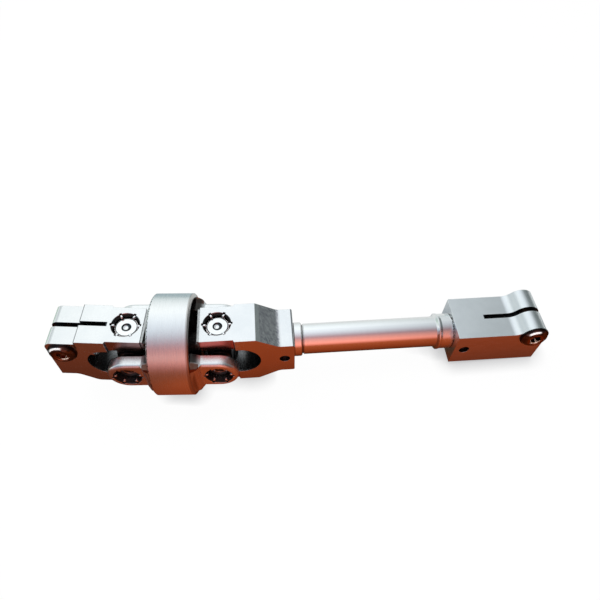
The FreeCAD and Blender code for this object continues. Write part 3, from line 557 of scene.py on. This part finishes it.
BOLTS = {name: bolt_finish(name) for name in BOLT_LINES}
print("finished:", ", ".join(BOLTS))

# %% [markdown]
# ## Bearing cups
# Each cup is drawn from bright steel and pressed into its bore. Its face has a turned dimple,
# covered with painted shade but for a slightly off-centre spot left bright as a painted highlight.
# A groove of painted shade runs round the face, and outside it lies a rolled edge with a painted
# highlight; behind that is painted shade.

# %% Cup finish
DIMPLE, SPOT, GROOVE, ROLLED_EDGE = 2.95, 1.45, (6.1, 6.4), 7.0
CUP_DULL, CUP_BRIGHT, CUP_ROLLED_HIGHLIGHT = (0.88, 0.89, 0.90), (0.96, 0.96, 0.96), (0.75, 0.71, 0.71)
# The dark colour is painted shade, and the rolled colour a painted highlight.
CUP_SHADE, CUP_SHADE_COVER = (0.022, 0.025, 0.028), 0.96


def cup_finish(name, spot_shift):
    """Bright steel with painted shade and highlights; spot_shift moves the bright spot of painted highlight
    in the dimple, in millimetres.
    """
    finish = Finish("drawn_cup_" + name)
    point, axis = CUP_LINES[name]
    far = finish.from_line(point, axis)
    noise = finish.noise(scale=1300)
    wobbly = far + 0.3 * (noise - 0.5)
    from_spot = finish.from_line(point + spot_shift * MM, axis)
    # Painted shade in the dimple, all but the bright spot.
    dimple = far.ramp(DIMPLE + 0.1, DIMPLE - 0.15) * from_spot.ramp(SPOT - 0.2, SPOT + 0.25)
    # Painted shade in the groove.
    groove = wobbly.between(*GROOVE, 0.15)
    # Painted shade beyond the rolled edge.
    behind = wobbly.ramp(ROLLED_EDGE, ROLLED_EDGE + 0.2)
    steel = finish.mix(noise.ramp(*SPREAD), CUP_DULL, CUP_BRIGHT)
    # Painted highlight on the rolled edge.
    rolled = finish.mix(far.ramp(GROOVE[1], GROOVE[1] + 0.2), steel, CUP_ROLLED_HIGHLIGHT)
    colour = finish.mix(groove.most(behind).most(dimple) * CUP_SHADE_COVER, rolled, CUP_SHADE)
    # The rolled edge is non-metallic, so the lamps light it as a painted highlight.
    metallic = 1 - wobbly.between(GROOVE[1] + 0.15, ROLLED_EDGE, 0.1)
    return finish.finish_with(colour, 0.14 + 0.1 * noise, noise, 0.03, 0.25, metallic)


SPOT_SHIFTS = {"left": -0.6 * YOKE.x + 0.2 * YOKE.y, "right": -0.6 * SHAFT.x + 0.2 * SHAFT.y,
               "left_level": -0.5 * RING.x + 0.4 * RING.z,
               "right_level": -0.5 * RING.x + 0.4 * RING.z}
CUPS = {line: cup_finish(line, shift) for line, shift in SPOT_SHIFTS.items()}
print("finished cups:", len(CUPS))

# %% [markdown]
# ## Staked tongues
# The staked metal is burnished by the punch, so it is brighter and smoother than the face round it.

# %% Burnished finish
BURNISHED = (0.95, 0.95, 0.96)


def burnished(name, dull):
    """Metal smoothed by the punch, between a dull and a bright colour."""
    finish = Finish(name)
    noise = finish.noise(scale=2500)
    colour = finish.mix(noise.ramp(*SPREAD), dull, BURNISHED)
    return finish.finish_with(colour, 0.12 + 0.1 * noise, noise, bump=0.05, bevel=0.1)


YOKE_TONGUE = burnished("burnished_yoke", (0.84, 0.85, 0.87))
RING_TONGUE = burnished("burnished_ring", (0.82, 0.83, 0.84))
print("finished:", YOKE_TONGUE.name, RING_TONGUE.name)

# %% [markdown]
# ## Parts inside the joint
# The crosses and the centring parts are oiled steel, so dark that they also stand for the painted
# shade inside the joint; the bridge plates are zinc plated sheet, the seals are black rubber with a
# little dust, and the ball's liner is a pale, greased plastic.

# %% Inner finishes


def plain_finish(name, scale, dark, light, rough, bump, metallic=1.0):
    """A finish of one noise that varies colour, roughness and height together."""
    finish = Finish(name)
    noise = finish.noise(scale=scale, detail=4)
    colour = finish.mix(noise.ramp(*CLOUD_SPAN), dark, light)
    return finish.finish_with(colour, rough + 0.2 * noise, noise, bump, 0.2, metallic)


# Very dark, so the crosses and centring parts also stand for the painted shade inside the joint.
STEEL_AND_SHADE = plain_finish("oiled_steel_and_shade", 900, (0.045, 0.042, 0.042), (0.11, 0.10, 0.10), 0.22, 0.04)
PLATE = plain_finish("plated_sheet", 500, (0.42, 0.43, 0.43), (0.6, 0.61, 0.61), 0.25, 0.03)
RUBBER = plain_finish("seal_rubber", 1500, (0.018, 0.018, 0.02), (0.05, 0.05, 0.05), 0.55, 0.1, 0.0)
LINER = plain_finish("greased_liner", 500, (0.25, 0.2, 0.15), (0.5, 0.47, 0.4), 0.3, 0.05, 0.0)
NAMED = {"left_clamp_yoke": LEFT_YOKE, "inner_yoke": INNER_YOKE, "centre_ring": RING_METAL,
         "shaft_tube": TUBE_METAL, "right_clamp_block": BLOCK_METAL, "centring_liner": LINER,
         **BOLTS}


def finish_of(node):
    """The finish of a node, from its name."""
    if node in NAMED:
        return NAMED[node]
    if node.endswith("cup"):
        side, place, _ = node.split("_")
        return CUPS[side if place in ("top", "bottom") else side + "_level"]
    if "plate" in node:
        return PLATE
    return RUBBER if node.endswith("seal") else STEEL_AND_SHADE


for name, node in frame["nodes"].items():
    for slot in node.material_slots:
        slot.material = finish_of(name)
print("nodes with a finish:", len(frame["nodes"]))

# %% [markdown]
# ## Staked metal
# A punch pushes the bore's edge over each cup at six places. Each push leaves a small rounded
# tongue of bright metal. One tongue is modelled from a cube: its edges are bevelled, and its inner
# end is drawn down and made narrower. Copies are then laid round each bearing and joined.

# %% Helpers for new pieces


def deselect():
    """Leave nothing selected, so that the next operator works on the new piece only."""
    bpy.ops.object.select_all(action="DESELECT")


def edit(action):
    """Run an action on the active piece in edit mode."""
    bpy.ops.object.mode_set(mode="EDIT")
    action()
    bpy.ops.object.mode_set(mode="OBJECT")


def joined(pieces, name):
    """Several pieces made into one."""
    deselect()
    for piece in pieces:
        piece.select_set(True)
    bpy.context.view_layer.objects.active = pieces[0]
    bpy.ops.object.join()
    pieces[0].name = pieces[0].data.name = name
    return pieces[0]


def settle(piece, metal, body):
    """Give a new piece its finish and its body."""
    piece.data.materials.clear()
    piece.data.materials.append(metal)
    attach(piece, body)


# %% One tongue
STAKES, TONGUE_PLACE, TONGUE_DEPTH = 6, 7.75, 0.95
TONGUE_SIZE, TONGUE_BEVEL, BEVEL_STEPS = (2.2, 2.1, 1.5), 0.5, 3
DROOP, TIP_WIDTH = 0.5, 0.7


def tongue():
    """One tongue of staked metal at the origin, X pointing away from the bore's axis."""
    deselect()
    bpy.ops.mesh.primitive_cube_add(size=MM)
    made = bpy.context.object

    def shape():
        bpy.ops.mesh.select_all(action="SELECT")
        bpy.ops.transform.resize(value=TONGUE_SIZE)
        bpy.ops.mesh.bevel(offset=TONGUE_BEVEL * MM, segments=BEVEL_STEPS,
                           profile=0.5, affect="EDGES")

    def droop():
        bpy.ops.transform.translate(value=(0, 0, -DROOP * MM))
        bpy.ops.transform.resize(value=(1, TIP_WIDTH, 1))

    edit(shape)
    for polygon in made.data.polygons:
        polygon.select = polygon.center.x < -TONGUE_BEVEL * MM / 2
    edit(droop)
    bpy.ops.object.shade_smooth()
    return made


master = tongue()
print("triangles in one tongue:", sum(len(p.vertices) - 2 for p in master.data.polygons))

# %% Tongues round each bearing
BEARINGS = {}
for side, place, body in (("left", YOKE, "left_yoke"), ("right", SHAFT, "lower_shaft")):
    point, axis = hinge(side + "_yaw")
    BEARINGS[side + "_top"] = Place(point, place.x, axis), EAR_FACE, body
    BEARINGS[side + "_bottom"] = Place(point, place.x, -axis), EAR_FACE, body
    point, axis = hinge(side + "_pitch")
    BEARINGS[side + "_front"] = Place(point, RING.x, -RING.y), LUG_FACE, "centre_ring"
    BEARINGS[side + "_back"] = Place(point, RING.x, RING.y), LUG_FACE, "centre_ring"

for name, (place, face, body) in BEARINGS.items():
    lift = Matrix.Translation(Vector((TONGUE_PLACE, 0, face - TONGUE_DEPTH)) * MM)
    copies = []
    for stake in range(STAKES):
        copy = bpy.data.objects.new(name, master.data.copy())
        bpy.context.scene.collection.objects.link(copy)
        around = Matrix.Rotation(math.tau * stake / STAKES, 4, "Z")
        copy.data.transform(place.matrix() @ around @ lift)
        copies.append(copy)
    on_ring = body == "centre_ring"
    settle(joined(copies, name + "_stakes"), RING_TONGUE if on_ring else YOKE_TONGUE, body)
bpy.data.objects.remove(master)
print("staked bearings:", len(BEARINGS))

# %% [markdown]
# ## Serrations
# A steering clamp grips its shaft by fine serrations. The wall is a cylinder whose alternate edges
# are drawn in towards the axis. It is opened where the slit is, and Solidify gives it a thickness
# that goes into the metal, so no gap shows at the mouth.

# %% Serrated bores
TEETH, BORE, TOOTH, WALL, SLIT_HALF = 36, 7.17, 0.55, 0.3, 1.7


def select_vertices(piece, test):
    """Select the vertices that pass a test, in object mode."""
    bpy.context.tool_settings.mesh_select_mode = (True, False, False)
    for parts in (piece.data.vertices, piece.data.edges, piece.data.polygons):
        parts.foreach_set("select", [False] * len(parts))
    for vertex in piece.data.vertices:
        vertex.select = test(vertex.co)


def serrations(name, place, start, end):
    """Teeth in a clamp's bore from start to end along X; its slit is on the +Z side."""
    deselect()
    bpy.ops.mesh.primitive_cylinder_add(vertices=2 * TEETH, radius=BORE * MM,
                                        depth=(end - start) * MM, end_fill_type="NOTHING")
    made = bpy.context.object
    made.name = made.data.name = name
    step = math.pi / TEETH
    select_vertices(made, lambda co: round(math.atan2(co.y, co.x) / step) % 2 == 0)
    inner = 1 - TOOTH / BORE
    edit(lambda: bpy.ops.transform.resize(value=(inner, inner, 1)))
    select_vertices(made, lambda co: co.x > 0 and abs(co.y) < SLIT_HALF * MM)
    edit(lambda: bpy.ops.mesh.delete(type="VERT"))
    solidify = made.modifiers.new("wall", "SOLIDIFY")
    solidify.thickness, solidify.offset = WALL * MM, 1.0
    bpy.ops.object.modifier_apply(modifier=solidify.name)

    def turn_out():
        bpy.ops.mesh.select_all(action="SELECT")
        bpy.ops.mesh.normals_make_consistent(inside=False)

    edit(turn_out)
    made.data.transform(Place(place.point((start + end) / 2, 0, 0), place.z, place.x).matrix())
    return made


LEFT_BORE, RIGHT_BORE = (-44.9, -24.0), (168.5, 201.7)
settle(serrations("left_serrations", YOKE, *LEFT_BORE), YOKE_TONGUE, "left_yoke")
settle(serrations("right_serrations", SHAFT, *RIGHT_BORE), BLOCK_METAL, "lower_shaft")
print("teeth in each bore:", TEETH)

# %% [markdown]
# ## Table
# The table is plain and pale. It keeps a faint shadow close to the part, which comes from how much
# of the sky each spot sees. Polished metal mirrors the room's warm floor in front of it and its
# pale floor behind, so rays that leave a glossy surface meet those colours here instead.

# %% Table
TABLE_SIZE, TABLE_GREY, TABLE_GLOW = 3.0, (0.9, 0.9, 0.9), 0.97
CONTACT_REACH, CONTACT_POWER, CONTACT_SHADE = 0.011, 1.3, (0.42, 0.42, 0.43)
WARM_TABLE = {-0.25: (0.44, 0.084, 0.031), -0.07: (0.37, 0.068, 0.024),
              -0.03: (0.29, 0.047, 0.016), -0.012: (0.14, 0.026, 0.010),
              -0.002: (0.045, 0.025, 0.014), 0.029: (0.42, 0.46, 0.48),
              0.045: (0.75, 0.78, 0.77), 0.10: (0.75, 0.78, 0.77)}
WARM_NEAR, WARM_FAR = min(WARM_TABLE), max(WARM_TABLE)
MIDDLE_TINT, LEFT_TINT, FRONT_TINT = (0.47, 0.58, 0.62), (0.68, 0.88, 0.64), (0.95, 0.9, 0.62)
low, high = solid_bounds


def mirrored_table(finish):
    """What polished metal sees of the table: warm in front and pale behind, with three tints."""
    x, y, z = finish.parts(finish.coordinates)
    depth = finish.node("MapRange", {}, {"Value": y, "From Min": WARM_NEAR, "From Max": WARM_FAR})
    stops = [((far - WARM_NEAR) / (WARM_FAR - WARM_NEAR), hue) for far, hue in WARM_TABLE.items()]
    warm = finish.node("ValToRGB", {"stops": stops}, {0: depth})
    middle = finish.mix(x.ramp(0.02, -0.05), (1, 1, 1), MIDDLE_TINT)
    left = finish.mix(x.ramp(-0.235, -0.262) * y.ramp(-0.08, -0.05), middle, LEFT_TINT)
    across = finish.mix(x.ramp(-0.08, -0.03) * y.ramp(0.01, -0.01), left, FRONT_TINT)
    return finish.node("Emission", {}, {"Color": finish.mix(1.0, warm, across, "MULTIPLY")})


def table():
    """A plane under the part, with one look for the camera and another for glossy rays."""
    bpy.ops.mesh.primitive_plane_add(size=TABLE_SIZE, location=(SHAFT.origin.x, 0, low.z))
    made = bpy.context.object
    made.name = "table"
    finish = Finish("pale_table")
    sky_settings, sky_inputs = {"samples": 12}, {"Distance": CONTACT_REACH}
    open_sky = finish.node("AmbientOcclusion", sky_settings, sky_inputs, output="AO")
    near = finish.mix(open_sky ** CONTACT_POWER, CONTACT_SHADE, (1, 1, 1))
    pale = finish.node("BsdfDiffuse", {}, {"Color": TABLE_GREY})
    glow = finish.node("Emission", {}, {"Color": near})
    seen = finish.node("LightPath", output="Is Camera Ray")
    glossy = finish.node("LightPath", output="Is Glossy Ray")
    shown = finish.node("MixShader", {}, {0: TABLE_GLOW * seen, 1: pale, 2: glow})
    both = finish.node("MixShader", {}, {0: glossy, 1: shown, 2: mirrored_table(finish)})
    finish.feed(finish.tree.nodes["Material Output"].inputs["Surface"], both)
    made.data.materials.append(finish.material)


table()
print("table under the lowest point, mm:", round(low.z / MM, 2))

# %% [markdown]
# ## The room in the metal
# Polished aluminium has hardly any colour of its own: it shows the room. The room is drawn by
# direction. Seen across the shaft, it goes from a pale back through a cool white ceiling to a dim
# lavender and a warm coral band low in front. It dims at the far right, and the coral is weaker at
# the left. The lamps aren't mirrored, so no hard spots show.

# %% Room
QUARTER = 90.0


def stops_by_angle(colours):
    """Ramp stops from degrees off the zenith, positive to the front."""
    return [((angle + QUARTER) / (2 * QUARTER), colour) for angle, colour in colours.items()]


MIDDLE_ROOM = {-90: (0.78, 0.84, 0.84), -62: (0.98, 1.05, 1.06), -44: (1.06, 1.13, 1.16),
               -32: (1.03, 1.10, 1.14), -14: (0.89, 0.95, 1.00), 8: (0.67, 0.64, 0.70),
               26: (0.49, 0.31, 0.33), 48: (0.94, 0.38, 0.32), 74: (1.28, 0.42, 0.31),
               90: (0.72, 0.15, 0.07)}
LEFT_ROOM = {-90: (0.60, 0.70, 0.70), -62: (1.02, 1.06, 1.05), -46: (1.22, 1.25, 1.20),
             -14: (0.97, 1.07, 1.14), 8: (0.76, 0.92, 1.00), 26: (0.46, 0.52, 0.62),
             36: (0.24, 0.16, 0.22), 48: (0.34, 0.17, 0.19), 62: (0.72, 0.44, 0.42),
             76: (0.42, 0.17, 0.16), 90: (0.20, 0.06, 0.05)}
RIGHT_SHADE, LEFT_SHADE = (0.17, 0.185, 0.18), (0.55, 0.58, 0.60)
WHITE, ROOM_LIGHT = (1, 1, 1), 0.55


def room():
    """Light every surface evenly, show glossy rays the drawn room and the camera plain white."""
    world = bpy.data.worlds.new("room")
    world.use_nodes = True
    bpy.context.scene.world = world
    nodes = Nodes(world.node_tree)
    x, y, z = nodes.parts(nodes.node("TexCoord", output="Generated"))
    angle = nodes.node("Math", {"operation": "ARCTAN2"}, {0: -1 * y, 1: z})
    share = angle / math.pi + 0.5
    middle = nodes.node("ValToRGB", {"stops": stops_by_angle(MIDDLE_ROOM)}, {0: share})
    left = nodes.node("ValToRGB", {"stops": stops_by_angle(LEFT_ROOM)}, {0: share})
    sides = nodes.mix(x.ramp(-0.02, -0.24), middle, left)
    fade = nodes.mix(x.ramp(0.12, 0.72), WHITE, RIGHT_SHADE)
    fade = nodes.mix(x.ramp(-0.28, -0.5) * z.ramp(0.2, 0.5), fade, LEFT_SHADE)
    mirrored = nodes.mix(1.0, sides, fade, "MULTIPLY")
    plain = nodes.node("Background", {}, {"Color": WHITE, "Strength": ROOM_LIGHT})
    shiny = nodes.node("Background", {}, {"Color": mirrored})
    behind = nodes.node("Background", {}, {"Color": WHITE})
    glossy = nodes.node("LightPath", output="Is Glossy Ray")
    seen = nodes.node("LightPath", output="Is Camera Ray")
    lit = nodes.node("MixShader", {}, {0: glossy, 1: plain, 2: shiny})
    both = nodes.node("MixShader", {}, {0: seen, 1: lit, 2: behind})
    nodes.feed(nodes.tree.nodes["World Output"].inputs["Surface"], both)


room()
print("directions drawn in the room:", len(MIDDLE_ROOM) + len(LEFT_ROOM))

# %% [markdown]
# ## Lamps and camera
# Two large area lamps light the parts that aren't metal, and the table. The camera was found by
# laying the drawing's corners over the photograph's: it looks down steeply from the front, from
# about a third of a metre, and its picture is shifted a little instead of turned.

# %% Lamps
MIDDLE = (low + high) / 2


def lamp(name, offset, size, watts):
    """An area lamp that faces the middle of the part and isn't seen in glossy metal."""
    data = bpy.data.lights.new(name, "AREA")
    data.size, data.energy = size, watts
    made = bpy.data.objects.new(name, data)
    bpy.context.scene.collection.objects.link(made)
    made.location = MIDDLE + Vector(offset)
    made.rotation_mode = "QUATERNION"
    made.rotation_quaternion = (-Vector(offset)).to_track_quat("-Z", "Y")
    made.visible_glossy = False


lamp("soft_key", (-0.25, 0.35, 0.75), size=0.7, watts=7.0)
lamp("soft_fill", (0.5, -0.5, 0.7), size=0.8, watts=4.0)
print("lamps: 2")

# %% Camera
FOCAL, MIDDLE_COLUMN, MIDDLE_ROW, PIXELS = 488.87, 292.93, 339.41, 600  # all in pixels
AIM, DISTANCE, ELEVATION, AZIMUTH = (45.93, 0, 0), 314.16, 56.4, -3.97  # mm and degrees
SENSOR, NEAREST, FARTHEST = 36, 0.01, 10


def camera():
    """The camera, placed on the shaft's own axes."""
    data = bpy.data.cameras.new("viewpoint")
    data.sensor_width = SENSOR
    data.lens = FOCAL / PIXELS * data.sensor_width
    data.shift_x = 0.5 - MIDDLE_COLUMN / PIXELS
    data.shift_y = MIDDLE_ROW / PIXELS - 0.5
    data.clip_start, data.clip_end = NEAREST, FARTHEST
    made = bpy.data.objects.new("viewpoint", data)
    bpy.context.scene.collection.objects.link(made)
    turn, tilt = math.radians(AZIMUTH), math.radians(ELEVATION)
    level = Vector((math.sin(turn), -math.cos(turn), 0))
    back = level * math.cos(tilt) + Vector((0, 0, math.sin(tilt)))
    spot = (Vector(AIM) + back * DISTANCE) * MM
    pose = Matrix.Translation(spot) @ (-back).to_track_quat("-Z", "Y").to_matrix().to_4x4()
    made.matrix_world = SHAFT.matrix() @ pose
    bpy.context.scene.camera = made


camera()
bpy.context.scene.view_settings.view_transform = "Standard"
print("camera distance, mm:", DISTANCE)
